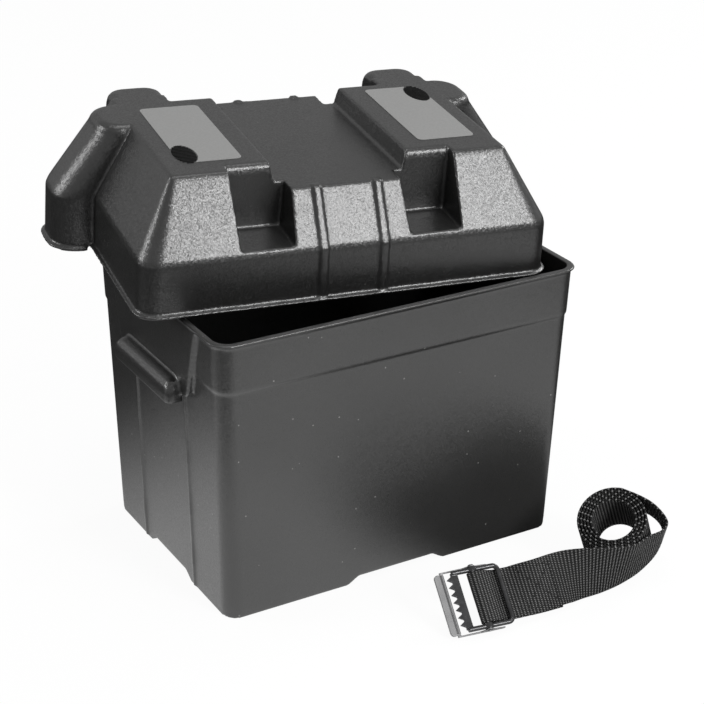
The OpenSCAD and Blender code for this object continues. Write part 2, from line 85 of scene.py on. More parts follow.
def bake(piece, smooth=True):
    mesh = evaluated(piece)
    piece.modifiers.clear()
    old = piece.data
    piece.data = mesh
    if old.users == 0:
        bpy.data.meshes.remove(old)
    mesh.polygons.foreach_set("use_smooth", [smooth] * len(mesh.polygons))
    return piece


def cadCopy(node, name):
    mesh = cadNodes[node].data.copy()
    mesh.materials.clear()
    work = bmesh.new()
    work.from_mesh(mesh)
    bmesh.ops.remove_doubles(work, verts=work.verts, dist=2e-6)
    work.to_mesh(mesh)
    work.free()
    mesh.name = name
    return addObject(name, mesh)


def modifier(piece, kind, **settings):
    made = piece.modifiers.new(kind.lower(), kind)
    for key, value in settings.items():
        setattr(made, key, value)
    return made


def tree(name):
    material = bpy.data.materials.new(name)
    material.use_nodes = True
    nodes = material.node_tree.nodes
    nodes.clear()
    out = nodes.new("ShaderNodeOutputMaterial")
    shader = nodes.new("ShaderNodeBsdfPrincipled")
    material.node_tree.links.new(shader.outputs[0], out.inputs["Surface"])
    return material, nodes, material.node_tree.links, shader


def node(nodes, kind, values=None, **settings):
    made = nodes.new(kind)
    for key, value in settings.items():
        setattr(made, key, value)
    for key, value in (values or {}).items():
        made.inputs[key].default_value = value
    return made


# finishes

def mouldedPlastic(name, look):
    material, nodes, links, shader = tree(name)
    place = node(nodes, "ShaderNodeTexCoord")
    shader.inputs["Specular IOR Level"].default_value = look["specular"]
    grain = node(nodes, "ShaderNodeTexNoise", {"Scale": look["grainScale"], "Detail": 3.0, "Roughness": 0.6})
    pebble = node(nodes, "ShaderNodeTexVoronoi", {"Scale": look["pebbleScale"]}, feature="SMOOTH_F1")
    cloud = node(nodes, "ShaderNodeTexNoise", {"Scale": look["cloudScale"], "Detail": 4.0})
    dust = node(nodes, "ShaderNodeTexVoronoi", {"Scale": look["dustScale"], "Randomness": 1.0})
    for texture in (grain, pebble, cloud, dust):
        links.new(place.outputs["Object"], texture.inputs["Vector"])
    # dust: a small dot in a few of the cells
    few = node(nodes, "ShaderNodeSeparateColor")
    links.new(dust.outputs["Color"], few.inputs[0])
    chosen = node(nodes, "ShaderNodeMath", {1: look["dustShare"]}, operation="LESS_THAN")
    links.new(few.outputs[0], chosen.inputs[0])
    dot = node(nodes, "ShaderNodeMath", {1: look["dustSize"]}, operation="LESS_THAN")
    links.new(dust.outputs["Distance"], dot.inputs[0])
    speck = node(nodes, "ShaderNodeMath", operation="MULTIPLY")
    links.new(chosen.outputs[0], speck.inputs[0])
    links.new(dot.outputs[0], speck.inputs[1])
    tone = node(nodes, "ShaderNodeMapRange", {1: 0.35, 2: 0.65, 3: look["tone"][0], 4: look["tone"][1]})
    links.new(cloud.outputs["Fac"], tone.inputs[0])
    base = node(nodes, "ShaderNodeMix", {6: (0, 0, 0, 1), 7: (1, 1, 0.98, 1)}, data_type="RGBA")
    links.new(tone.outputs[0], base.inputs[0])
    dusted = node(nodes, "ShaderNodeMix", {7: look["dustColour"]}, data_type="RGBA")
    links.new(speck.outputs[0], dusted.inputs[0])
    links.new(base.outputs[2], dusted.inputs[6])
    links.new(dusted.outputs[2], shader.inputs["Base Color"])
    rough = node(nodes, "ShaderNodeMapRange", {1: 0.3, 2: 0.7, 3: look["rough"][0], 4: look["rough"][1]})
    links.new(grain.outputs["Fac"], rough.inputs[0])
    links.new(rough.outputs[0], shader.inputs["Roughness"])
    height = node(nodes, "ShaderNodeMath", operation="ADD")
    links.new(grain.outputs["Fac"], height.inputs[0])
    links.new(pebble.outputs["Distance"], height.inputs[1])
    bump = node(nodes, "ShaderNodeBump", {"Strength": look["bump"], "Distance": look["bumpDepth"]})
    links.new(height.outputs[0], bump.inputs["Height"])
    # sand grain: every small facet leans its own way, so some of them catch the light
    facet = node(nodes, "ShaderNodeTexVoronoi", {"Scale": look["facetScale"]})
    links.new(place.outputs["Object"], facet.inputs["Vector"])
    centred = node(nodes, "ShaderNodeVectorMath", {1: (0.5, 0.5, 0.5)}, operation="SUBTRACT")
    links.new(facet.outputs["Color"], centred.inputs[0])
    leaning = node(nodes, "ShaderNodeVectorMath", {3: look["facetLean"]}, operation="SCALE")
    links.new(centred.outputs[0], leaning.inputs[0])
    tilted = node(nodes, "ShaderNodeVectorMath", operation="ADD")
    links.new(bump.outputs[0], tilted.inputs[0])
    links.new(leaning.outputs[0], tilted.inputs[1])
    unit = node(nodes, "ShaderNodeVectorMath", operation="NORMALIZE")
    links.new(tilted.outputs[0], unit.inputs[0])
    links.new(unit.outputs[0], shader.inputs["Normal"])
    return material


lidLook = {
    "specular": 1.0, "grainScale": 1900.0, "pebbleScale": 1500.0, "cloudScale": 14.0,
    "tone": (0.006, 0.010), "rough": (0.28, 0.38), "bump": 0.25, "bumpDepth": 0.00030,
    "facetScale": 1150.0, "facetLean": 0.15,
    "dustScale": 260.0, "dustShare": 0.02, "dustSize": 0.12, "dustColour": (0.10, 0.10, 0.096, 1),
}
tubLook = {
    "specular": 1.0, "grainScale": 1700.0, "pebbleScale": 1300.0, "cloudScale": 9.0,
    "tone": (0.013, 0.019), "rough": (0.27, 0.37), "bump": 0.2, "bumpDepth": 0.00025,
    "facetScale": 1150.0, "facetLean": 0.08,
    "dustScale": 190.0, "dustShare": 0.06, "dustSize": 0.11, "dustColour": (0.16, 0.16, 0.155, 1),
}
# the ovals' bars: painted shade, near black and barely reflecting, so they read as the shade between the
# ridges
ridgeShadeLook = {
    "specular": 0.1, "grainScale": 1900.0, "pebbleScale": 1500.0, "cloudScale": 14.0,
    "tone": (0.003, 0.005), "rough": (0.6, 0.8), "bump": 0.2, "bumpDepth": 0.0001,
    "facetScale": 1150.0, "facetLean": 0.05,
    "dustScale": 260.0, "dustShare": 0.0, "dustSize": 0.12, "dustColour": (0.10, 0.10, 0.096, 1),
}
lidPlastic = mouldedPlastic("grainedBlackPlastic", lidLook)
tubPlastic = mouldedPlastic("smoothBlackPlastic", tubLook)
ridgeShadePlastic = mouldedPlastic("paintedShadeRidgePlastic", ridgeShadeLook)


def labelFilm(name, look):
    material, nodes, links, shader = tree(name)
    place = node(nodes, "ShaderNodeTexCoord")
    fleck = node(nodes, "ShaderNodeTexNoise", {"Scale": look["fleckScale"], "Detail": 2.0})
    links.new(place.outputs["Object"], fleck.inputs["Vector"])
    colour = node(nodes, "ShaderNodeMix", {6: look["dark"], 7: look["light"]}, data_type="RGBA")
    links.new(fleck.outputs["Fac"], colour.inputs[0])
    links.new(colour.outputs[2], shader.inputs["Base Color"])
    bump = node(nodes, "ShaderNodeBump", {"Strength": look["bump"], "Distance": look["bumpDepth"]})
    links.new(fleck.outputs["Fac"], bump.inputs["Height"])
    links.new(bump.outputs[0], shader.inputs["Normal"])
    shader.inputs["Roughness"].default_value = look["rough"]
    shader.inputs["Specular IOR Level"].default_value = look["specular"]
    return material


labelLook = {
    "fleckScale": 700.0, "dark": (0.20, 0.20, 0.197, 1), "light": (0.26, 0.26, 0.257, 1),
    "rough": 0.55, "specular": 0.35, "bump": 0.15, "bumpDepth": 0.0001,
}
labelGrey = labelFilm("plainGreyLabel", labelLook)


def wovenPolyester(name, look):
    material, nodes, links, shader = tree(name)
    uv = node(nodes, "ShaderNodeUVMap", uv_map="weave")
    split = node(nodes, "ShaderNodeSeparateXYZ")
    links.new(uv.outputs[0], split.inputs[0])

    # u runs along the strap and v across it, both in metres; each rib is a row of short yarn floats
    def wave(source, pitch, shift=None):
        scaled = node(nodes, "ShaderNodeMath", {1: 2 * math.pi / pitch}, operation="MULTIPLY")
        links.new(source, scaled.inputs[0])
        value = scaled.outputs[0]
        if shift is not None:
            moved = node(nodes, "ShaderNodeMath", operation="ADD")
            links.new(value, moved.inputs[0])
            links.new(shift, moved.inputs[1])
            value = moved.outputs[0]
        made = node(nodes, "ShaderNodeMath", operation="COSINE")
        links.new(value, made.inputs[0])
        half = node(nodes, "ShaderNodeMath", {1: 0.5, 2: 0.5}, operation="MULTIPLY_ADD")
        links.new(made.outputs[0], half.inputs[0])
        return half.outputs[0]

    along = wave(split.outputs[0], look["ribPitch"])
    halfRib = node(nodes, "ShaderNodeMath", {1: math.pi / look["ribPitch"]}, operation="MULTIPLY")
    links.new(split.outputs[0], halfRib.inputs[0])
    across = wave(split.outputs[1], look["yarnPitch"], halfRib.outputs[0])
    yarn = node(nodes, "ShaderNodeMath", operation="MULTIPLY")
    links.new(along, yarn.inputs[0])
    links.new(across, yarn.inputs[1])
    place = node(nodes, "ShaderNodeTexCoord")
    fuzz = node(nodes, "ShaderNodeTexNoise", {"Scale": look["fuzzScale"], "Detail": 3.0, "Roughness": 0.7})
    links.new(place.outputs["Object"], fuzz.inputs["Vector"])
    mixed = node(nodes, "ShaderNodeMath", {1: look["fuzz"]}, operation="MULTIPLY_ADD")
    links.new(fuzz.outputs["Fac"], mixed.inputs[0])
    links.new(yarn.outputs[0], mixed.inputs[2])
    # painted highlight and shade: the yarn crests are painted light as a painted highlight and the hollows
    # between them near black as painted shade
    ramp = node(nodes, "ShaderNodeMapRange", {1: look["yarnFrom"], 2: look["yarnTo"]})
    links.new(mixed.outputs[0], ramp.inputs[0])
    colour = node(nodes, "ShaderNodeMix", {6: look["deep"], 7: look["crestHighlight"]}, data_type="RGBA")
    links.new(ramp.outputs[0], colour.inputs[0])
    links.new(colour.outputs[2], shader.inputs["Base Color"])
    bump = node(nodes, "ShaderNodeBump", {"Strength": look["bump"], "Distance": look["bumpDepth"]})
    links.new(mixed.outputs[0], bump.inputs["Height"])
    links.new(bump.outputs[0], shader.inputs["Normal"])
    shader.inputs["Roughness"].default_value = look["rough"]
    shader.inputs["Specular IOR Level"].default_value = look["specular"]
    shader.inputs["Sheen Weight"].default_value = look["sheen"]
    shader.inputs["Sheen Roughness"].default_value = look["sheenRough"]
    return material


# the crest colour is a painted highlight on the black yarn; the deep colour is painted shade in the hollows
weaveLook = {
    "ribPitch": 0.0025, "yarnPitch": 0.0013, "yarnFrom": 0.5, "yarnTo": 1.15,
    "fuzzScale": 2200.0, "fuzz": 0.45,
    "deep": (0.002, 0.002, 0.002, 1), "crestHighlight": (0.22, 0.22, 0.218, 1), "bump": 1.0, "bumpDepth": 0.0006,
    "rough": 0.6, "specular": 0.25, "sheen": 0.04, "sheenRough": 0.4,
}
weaveBlack = wovenPolyester("ribbedBlackWeave", weaveLook)


def platedMetal(name, look):
    material, nodes, links, shader = tree(name)
    place = node(nodes, "ShaderNodeTexCoord")
    stain = node(nodes, "ShaderNodeTexNoise", {"Scale": look["stainScale"], "Detail": 5.0, "Roughness": 0.6})
    pits = node(nodes, "ShaderNodeTexNoise", {"Scale": look["pitScale"], "Detail": 2.0})
    for texture in (stain, pits):
        links.new(place.outputs["Object"], texture.inputs["Vector"])
    colour = node(nodes, "ShaderNodeMix", {6: look["dark"], 7: look["light"]}, data_type="RGBA")
    links.new(stain.outputs["Fac"], colour.inputs[0])
    links.new(colour.outputs[2], shader.inputs["Base Color"])
    rough = node(nodes, "ShaderNodeMapRange", {1: 0.35, 2: 0.65, 3: look["rough"][0], 4: look["rough"][1]})
    links.new(stain.outputs["Fac"], rough.inputs[0])
    links.new(rough.outputs[0], shader.inputs["Roughness"])
    bump = node(nodes, "ShaderNodeBump", {"Strength": look["bump"], "Distance": look["bumpDepth"]})
    links.new(pits.outputs["Fac"], bump.inputs["Height"])
    links.new(bump.outputs[0], shader.inputs["Normal"])
    shader.inputs["Metallic"].default_value = look["metallic"]
    return material


frameLook = {
    "stainScale": 120.0, "pitScale": 900.0, "dark": (0.03, 0.03, 0.031, 1), "light": (0.07, 0.07, 0.072, 1),
    "rough": (0.2, 0.32), "bump": 0.08, "bumpDepth": 0.0001, "metallic": 0.6,
}
leverLook = {
    "stainScale": 90.0, "pitScale": 1300.0, "dark": (0.18, 0.18, 0.182, 1), "light": (0.28, 0.28, 0.282, 1),
    "rough": (0.42, 0.55), "bump": 0.2, "bumpDepth": 0.0001, "metallic": 0.8,
}
pinLook = {
    "stainScale": 150.0, "pitScale": 1500.0, "dark": (0.16, 0.16, 0.165, 1), "light": (0.26, 0.26, 0.265, 1),
    "rough": (0.3, 0.4), "bump": 0.1, "bumpDepth": 0.0001, "metallic": 0.85,
}
frameMetal = platedMetal("smokePlatedSteel", frameLook)
leverMetal = platedMetal("satinPlatedSteel", leverLook)
pinMetal = platedMetal("platedPinSteel", pinLook)
print("finishes made")


# moulded shells: the CAD solid is remeshed finely and smoothed, so every edge has a moulded fillet

def mouldedShell(nodeName, name, shell, material):
    piece = cadCopy(nodeName, name)
    if "flatten" in shell:
        shell["flatten"](piece.data)
    size = shell["voxel"] * 1.0
    modifier(piece, "REMESH", mode="VOXEL", voxel_size=size, adaptivity=0.0)
    rounds = shell["rounds"] // 1
    modifier(piece, "SMOOTH", factor=0.5, iterations=max(2, rounds))
    bake(piece)
    count = sum(len(p.vertices) - 2 for p in piece.data.polygons)
    if count > shell["triangles"]:
        modifier(piece, "DECIMATE", decimate_type="COLLAPSE", ratio=shell["triangles"] / count,
                 use_collapse_triangulate=True)
        bake(piece)
    modifier(piece, "WEIGHTED_NORMAL", weight=50, keep_sharp=False)
    bake(piece)
    piece.data.materials.append(material)
    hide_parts(nodeName)
    print(name, "made,", len(piece.data.polygons), "faces")
    return piece


lidShell = {
    "voxel": 0.0009, "rounds": 9, "triangles": 190000,
    "place": (-0.0084, 0.0395, 0.2243), "turn": (3.33, 1.48, -8.55), "deck": 0.0901,
}
lidMatrix = Matrix.Translation(lidShell["place"]) @ (
    Matrix.Rotation(math.radians(lidShell["turn"][2]), 4, "Z")
    @ Matrix.Rotation(math.radians(lidShell["turn"][1]), 4, "Y")
    @ Matrix.Rotation(math.radians(lidShell["turn"][0]), 4, "X"))


def pressRidges(mesh):  # the CAD's coarse ovals go flat here: finer ridges are laid on below
    back = lidMatrix.inverted()
    for vertex in mesh.vertices:
        local = back @ vertex.co
        if local.z > lidShell["deck"]:
            local.z = lidShell["deck"]
            vertex.co = lidMatrix @ local


lidShell["flatten"] = pressRidges
lid = mouldedShell("lid", "lidShell", lidShell, lidPlastic)
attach(lid, "lid")

tubShell = {"voxel": 0.0011, "rounds": 5, "triangles": 185000}
tub = mouldedShell("tub", "tubShell", tubShell, tubPlastic)
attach(tub, "tub")


# labels: thin film with a rounded edge

labelEdge = {"bevel": 0.00012, "segments": 2}
for side in ("left", "right"):
    label = cadCopy("label_" + side, "label" + side.capitalize())
    modifier(label, "BEVEL", width=labelEdge["bevel"], segments=labelEdge["segments"], limit_method="ANGLE",
             angle_limit=math.radians(50))
    bake(label, smooth=False)
    label.data.materials.append(labelGrey)
    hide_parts("label_" + side)
    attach(label, "lid")
print("labels made")


# geometry node helpers

def nodeGroup(name, inputs):
    group = bpy.data.node_groups.new(name, "GeometryNodeTree")
    group.interface.new_socket("Geometry", in_out="INPUT", socket_type="NodeSocketGeometry")
    for label, kind in inputs:
        group.interface.new_socket(label, in_out="INPUT", socket_type=kind)
    group.interface.new_socket("Geometry", in_out="OUTPUT", socket_type="NodeSocketGeometry")
    return group, group.nodes.new("NodeGroupInput"), group.nodes.new("NodeGroupOutput")


def runGroup(piece, group, values):
    made = piece.modifiers.new(group.name, "NODES")
    made.node_group = group
    sockets = [s for s in group.interface.items_tree if s.item_type == "SOCKET" and s.in_out == "INPUT"]
    names = {socket.name: socket.identifier for socket in sockets}
    for label, value in values.items():
        made[names[label]] = value
    return bake(piece)


# ridged ovals on the decks: short bars whose length follows an ellipse, in a near-black dull finish that is
# painted shade for the dark between the ridges

ovalRidges = {
    "a": 0.0080, "b": 0.0160, "count": 13, "width": 0.0008, "height": 0.0005, "sink": 0.0004,
    "centres": ((-0.1044, -0.0414), (0.1049, 0.0377)), "edge": 0.00022,
}


def ridgeGroup():
    inputs = [("Half width", "NodeSocketFloat"), ("Half length", "NodeSocketFloat"),
              ("Count", "NodeSocketInt"), ("Bar width", "NodeSocketFloat"),
              ("Bar height", "NodeSocketFloat"), ("Finish", "NodeSocketMaterial")]
    group, start, end = nodeGroup("ridgedOval", inputs)
    nodes, links = group.nodes, group.links
    line = node(nodes, "GeometryNodeMeshLine", mode="END_POINTS")
    reach = node(nodes, "ShaderNodeMath", {1: 0.95}, operation="MULTIPLY")
    links.new(start.outputs["Half length"], reach.inputs[0])
    low = node(nodes, "ShaderNodeMath", {1: -1.0}, operation="MULTIPLY")
    links.new(reach.outputs[0], low.inputs[0])
    first, last = node(nodes, "ShaderNodeCombineXYZ"), node(nodes, "ShaderNodeCombineXYZ")
    step = node(nodes, "ShaderNodeCombineXYZ")
    links.new(low.outputs[0], first.inputs["Y"])
    links.new(reach.outputs[0], last.inputs["Y"])
    links.new(start.outputs["Count"], line.inputs["Count"])
    links.new(first.outputs[0], line.inputs["Start Location"])
    links.new(last.outputs[0], line.inputs["Offset"])
    bar = node(nodes, "GeometryNodeMeshCube", {"Vertices X": 5, "Vertices Y": 3, "Vertices Z": 3})
    size = node(nodes, "ShaderNodeCombineXYZ", {"X": 1.0})
    links.new(start.outputs["Bar width"], size.inputs["Y"])
    links.new(start.outputs["Bar height"], size.inputs["Z"])
    links.new(size.outputs[0], bar.inputs["Size"])
    place = node(nodes, "GeometryNodeInputPosition")
    apart = node(nodes, "ShaderNodeSeparateXYZ")
    links.new(place.outputs[0], apart.inputs[0])
    ratio = node(nodes, "ShaderNodeMath", operation="DIVIDE")
    links.new(apart.outputs["Y"], ratio.inputs[0])
    links.new(start.outputs["Half length"], ratio.inputs[1])
    square = node(nodes, "ShaderNodeMath", {1: 2.0}, operation="POWER")
    absolute = node(nodes, "ShaderNodeMath", operation="ABSOLUTE")
    links.new(ratio.outputs[0], absolute.inputs[0])
    links.new(absolute.outputs[0], square.inputs[0])
    rest = node(nodes, "ShaderNodeMath", {0: 1.0}, operation="SUBTRACT")
    links.new(square.outputs[0], rest.inputs[1])
    root = node(nodes, "ShaderNodeMath", operation="SQRT")
    links.new(rest.outputs[0], root.inputs[0])
    width = node(nodes, "ShaderNodeMath", operation="MULTIPLY")
    links.new(root.outputs[0], width.inputs[0])
    links.new(start.outputs["Half width"], width.inputs[1])
    double = node(nodes, "ShaderNodeMath", {1: 2.0}, operation="MULTIPLY")
    links.new(width.outputs[0], double.inputs[0])
    links.new(double.outputs[0], step.inputs["X"])
    step.inputs["Y"].default_value = 1.0
    step.inputs["Z"].default_value = 1.0
    scatter = node(nodes, "GeometryNodeInstanceOnPoints")
    links.new(line.outputs[0], scatter.inputs["Points"])
    links.new(bar.outputs[0], scatter.inputs["Instance"])
    links.new(step.outputs[0], scatter.inputs["Scale"])
    real = node(nodes, "GeometryNodeRealizeInstances")
    paint = node(nodes, "GeometryNodeSetMaterial")
    links.new(scatter.outputs[0], real.inputs[0])
    links.new(real.outputs[0], paint.inputs["Geometry"])
    links.new(start.outputs["Finish"], paint.inputs["Material"])
    links.new(paint.outputs[0], end.inputs[0])
    return group


ridges = ridgeGroup()
for index, side in enumerate(("Left", "Right")):
    oval = addObject("ovalRidges" + side, bpy.data.meshes.new("ovalRidges" + side))
    runGroup(oval, ridges, {
        "Half width": ovalRidges["a"], "Half length": ovalRidges["b"], "Count": ovalRidges["count"],
        "Bar width": ovalRidges["width"], "Bar height": ovalRidges["height"] + ovalRidges["sink"],
        "Finish": ridgeShadePlastic})
    x, y = ovalRidges["centres"][index]
    lift = lidShell["deck"] + (ovalRidges["height"] - ovalRidges["sink"]) / 2
    oval.data.transform(lidMatrix @ Matrix.Translation((x, y, lift)))
    modifier(oval, "BEVEL", width=ovalRidges["edge"], segments=2, limit_method="ANGLE",
             angle_limit=math.radians(50))
    bake(oval)
    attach(oval, "lid")
print("ridged ovals made")


# strap: the route is part.scad's own, in metres

strapSetup = {
    "width": 0.038, "thick": 0.0016, "buckle": (-0.001, -0.181, 0.021), "yaw": -9.0, "lean": 50.0,
    "barD": 0.0036, "barGap": 0.0003, "pinD": 0.003, "pinU": 0.017, "pinGap": 0.0005,
    "foldBulge": 0.0012, "layerGap": 0.0003,
    "runStart": (0.034, 0.044),
    "tailStart": (0.044, 0.037, 0.030), "intoFold": (0.024, -0.0037),
    "outOfFold": ((0.022, 0.0020), (0.027, 0.0001), (0.032, -0.0024)), "foldEnd": 0.036,
    "tailAt": 1.8, "tailDrop": 0.0014, "tailFrom": 0.4,
    "low": [(0.0607, -0.2013, 0.0054), (0.0811, -0.2005, 0.0049), (0.0973, -0.1965, 0.0018),
            (0.1168, -0.1962, 0.0016), (0.1362, -0.1941, 0.0025), (0.1563, -0.1901, 0.0052),
            (0.1767, -0.1831, 0.0120), (0.1883, -0.1736, 0.0230), (0.1833, -0.1605, 0.0311)],
    "leanWay": [(0.01, 0.74, 1), (0.04, 0.71, 1), (0.07, 0.27, 1), (0.02, -0.03, 1), (0, -0.24, 1),
                (-0.14, -0.3, 1), (-0.39, -0.58, 1), (-0.71, -0.93, 1), (-0.67, -0.86, 1)],
    "rollPlace": (0.1549, -0.1642, 0.0147), "rollAxis": (-0.549, -0.348, 1),
    "rollR": 0.0264, "rollPitch": 0.0024,
    "rollAcross": (0.509, 0.861, 0), "rollFrom": 64.0, "rollTurns": 4.4, "step": 0.000625, "columns": 24,
    "ribPitch": 0.0025, "ribHeight": 0.00012, "edgeInset": 0.0004, "edgeFlat": 0.45,
}


def buckleAxes(strap):
    yaw, lean = math.radians(strap["yaw"]), math.radians(strap["lean"])
    u = Vector((math.cos(yaw), math.sin(yaw), 0))
    back = Vector((-math.sin(yaw), math.cos(yaw), 0))
    v = math.cos(lean) * Vector((0, 0, 1)) + math.sin(lean) * back
    return u, v, u.cross(v)


axisU, axisV, axisN = buckleAxes(strapSetup)
bucklePlace = Vector(strapSetup["buckle"])


def inBuckle(u, n):
    return bucklePlace + axisU * u + axisN * n


def runLevel(strap):  # the run's middle line, under the buckle's bar
    return -(strap["barD"] / 2 + strap["thick"] / 2 + strap["barGap"])


def spiral(strap, k):  # k counts steps of 15 degrees, inwards from the turn that peels off
    axis = Vector(strap["rollAxis"]).normalized()
    e1 = Vector(strap["rollAcross"]).cross(axis).normalized()
    e2 = axis.cross(e1)
    turn = math.radians(strap["rollFrom"] + 15 * k)
    r = strap["rollR"] - strap["rollPitch"] * k / 24
    centre = Vector(strap["rollPlace"]) + r * math.cos(turn) * e1 + r * math.sin(turn) * e2
    return centre + strap["width"] / 2 * axis, axis


def blended(knots, per):  # a smooth curve through the knots; the first and last only steer it
    points = np.array([list(p) for p, w in knots])
    ways = np.array([list(w) for p, w in knots])
    made, madeWays = [], []
    for i in range(1, len(knots) - 2):
        for t in np.arange(0, 1, 1 / per):
            weights = 0.5 * np.array([-t + 2 * t * t - t ** 3, 2 - 5 * t * t + 3 * t ** 3,
                                      t + 4 * t * t - 3 * t ** 3, -t * t + t ** 3])
            made.append(weights @ points[i - 1:i + 3])
            madeWays.append(weights @ ways[i - 1:i + 3])
    made.append(points[-2])
    madeWays.append(ways[-2])
    made, madeWays = np.array(made), np.array(madeWays)
    return made, madeWays / np.linalg.norm(madeWays, axis=1)[:, None]


def facing(centre, way):
    normal = np.cross(np.gradient(centre, axis=0), way)
    return normal / np.linalg.norm(normal, axis=1)[:, None]


perKnot = 16


def freeRun(strap):
    runN = runLevel(strap)
    knots = [(inBuckle(u, runN), axisV) for u in strap["runStart"]]
    for low, way in zip(strap["low"], strap["leanWay"]):
        lean = Vector(way).normalized()
        knots.append((Vector(low) + strap["width"] / 2 * lean, lean))
    knots += [spiral(strap, 0), spiral(strap, 1)]
    return blended(knots, perKnot)


runCentre, runWay = freeRun(strapSetup)
runFace = facing(runCentre, runWay)


def strapRoute(strap):
    runN = runLevel(strap)
    layer = strap["thick"] + strap["layerGap"]
    foldR = strap["pinD"] / 2 + strap["pinGap"] + strap["thick"] / 2
    knots = []
    for k in range(int(round(strap["tailAt"] * perKnot)), 3, -2):  # the sewn tail, behind the run
        share = max(k / perKnot - strap["tailFrom"], 0) / (strap["tailAt"] - strap["tailFrom"])
        sink = strap["tailDrop"] * share
        knots.append((runCentre[k] - layer * runFace[k] - sink * runWay[k], runWay[k]))
    knots += [(inBuckle(u, runN - layer), axisV) for u in strap["tailStart"]]
    knots.append((inBuckle(*strap["intoFold"]), axisV))
    for a in range(-90, -271, -15):
        turn = math.radians(a)
        reach = (foldR + strap["foldBulge"]) * math.cos(turn)
        knots.append((inBuckle(strap["pinU"] + reach, foldR * math.sin(turn)), axisV))
    knots += [(inBuckle(u, n), axisV) for u, n in strap["outOfFold"]]
    knots.append((inBuckle(strap["foldEnd"], runN), axisV))
    knots += [(runCentre[k], runWay[k]) for k in range(0, len(runCentre) - 1, 2)]
    knots += [spiral(strap, k) for k in range(int(round(strap["rollTurns"] * 24)) + 1)]
    return knots


def smoothRoute(knots, step):
    first = [(2 * Vector(knots[0][0]) - Vector(knots[1][0]), knots[0][1])]
    last = [(2 * Vector(knots[-1][0]) - Vector(knots[-2][0]), knots[-1][1])]
    dense, denseWays = blended(first + knots + last, 12)
    along = np.concatenate([[0], np.cumsum(np.linalg.norm(np.diff(dense, axis=0), axis=1))])
    count = int(along[-1] / step) + 1
    at = np.linspace(0, along[-1], count)
    centre = np.stack([np.interp(at, along, dense[:, k]) for k in range(3)], axis=1)
    way = np.stack([np.interp(at, along, denseWays[:, k]) for k in range(3)], axis=1)
    way /= np.linalg.norm(way, axis=1)[:, None]
    return at, centre, way


def wovenBand(strap):
    at, centre, way = smoothRoute(strapRoute(strap), strap["step"])
    normal = facing(centre, way)
    columns = strap["columns"]
    across = np.linspace(-1, 1, columns)
    half, thick = strap["width"] / 2, strap["thick"] / 2
    flat, edge = half - strap["edgeInset"], strap["edgeFlat"]
    profile = [(a * flat, 1) for a in across] + [(half, edge), (half, -edge)]
    profile += [(-a * flat, -1) for a in across] + [(-half, -edge), (-half, edge)]
    ribs = 0.5 + 0.5 * np.cos(2 * math.pi * at / strap["ribPitch"])
    rings = []
    for w, s in profile:
        lift = thick * s - np.sign(s) * (1 - ribs) * strap["ribHeight"] * abs(s)
        rings.append(centre + way * w + normal * lift[:, None])
    count, ring = len(at), len(profile)
    verts = np.stack(rings, axis=1).reshape(-1, 3)
    faces = []
    for i in range(count - 1):
        for j in range(ring):
            a, b = i * ring + j, i * ring + (j + 1) % ring
            faces.append((a, b, b + ring, a + ring))
    faces.append(tuple(range(ring - 1, -1, -1)))
    faces.append(tuple(range((count - 1) * ring, count * ring)))
    mesh = bpy.data.meshes.new("webbingBand")
    mesh.from_pydata([tuple(v) for v in verts], [], faces)
    uv = mesh.uv_layers.new(name="weave")
    u = np.repeat(at, ring)
    v = np.tile([w for w, s in profile], count)
    loops = np.zeros(len(mesh.loops), int)
    mesh.loops.foreach_get("vertex_index", loops)
    uv.data.foreach_set("uv", np.stack([u[loops], v[loops]], axis=1).ravel())
    work = bmesh.new()
    work.from_mesh(mesh)
    bmesh.ops.recalc_face_normals(work, faces=work.faces)
    work.to_mesh(mesh)
    work.free()
    mesh.polygons.foreach_set("use_smooth", [True] * len(mesh.polygons))
    return mesh, at[-1]


bandMesh, bandLength = wovenBand(strapSetup)
webbing = addObject("webbingBand", bandMesh)
webbing.data.materials.append(weaveBlack)
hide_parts("webbing_roll", "webbing_run")
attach(webbing, "strap")
print("webbing made,", round(bandLength * 1000, 1), "mm long")


# stitching: short thread floats along a box and its cross

stitchSetup = {
    "along": (0.4, 1.68), "across": 0.0145, "pitch": 0.0025, "length": 0.0017, "thick": 0.0010,
    "linePoints": 24,
}


def stitchGroup():
    inputs = [("Pitch", "NodeSocketFloat"), ("Length", "NodeSocketFloat"), ("Thickness", "NodeSocketFloat"),
              ("Finish", "NodeSocketMaterial")]
    group, start, end = nodeGroup("threadStitches", inputs)
    nodes, links = group.nodes, group.links
    curve = node(nodes, "GeometryNodeMeshToCurve")
    spaced = node(nodes, "GeometryNodeResampleCurve")
    spaced.mode = "LENGTH"
    links.new(start.outputs["Geometry"], curve.inputs[0])
    links.new(curve.outputs[0], spaced.inputs["Curve"])
    links.new(start.outputs["Pitch"], spaced.inputs["Length"])
    bead = node(nodes, "GeometryNodeMeshUVSphere", {"Segments": 8, "Rings": 6, "Radius": 0.5})
    size = node(nodes, "ShaderNodeCombineXYZ")
    links.new(start.outputs["Length"], size.inputs["X"])
    links.new(start.outputs["Thickness"], size.inputs["Y"])
    links.new(start.outputs["Thickness"], size.inputs["Z"])
    way = node(nodes, "GeometryNodeInputTangent")
    turn = node(nodes, "FunctionNodeAlignRotationToVector", axis="X")
    links.new(way.outputs[0], turn.inputs["Vector"])
    scatter = node(nodes, "GeometryNodeInstanceOnPoints")
    links.new(spaced.outputs[0], scatter.inputs["Points"])
    links.new(bead.outputs[0], scatter.inputs["Instance"])
    links.new(turn.outputs[0], scatter.inputs["Rotation"])
    links.new(size.outputs[0], scatter.inputs["Scale"])
    real = node(nodes, "GeometryNodeRealizeInstances")
    paint = node(nodes, "GeometryNodeSetMaterial")
    links.new(scatter.outputs[0], real.inputs[0])
    links.new(real.outputs[0], paint.inputs["Geometry"])
    links.new(start.outputs["Finish"], paint.inputs["Material"])
    links.new(paint.outputs[0], end.inputs[0])
    return group


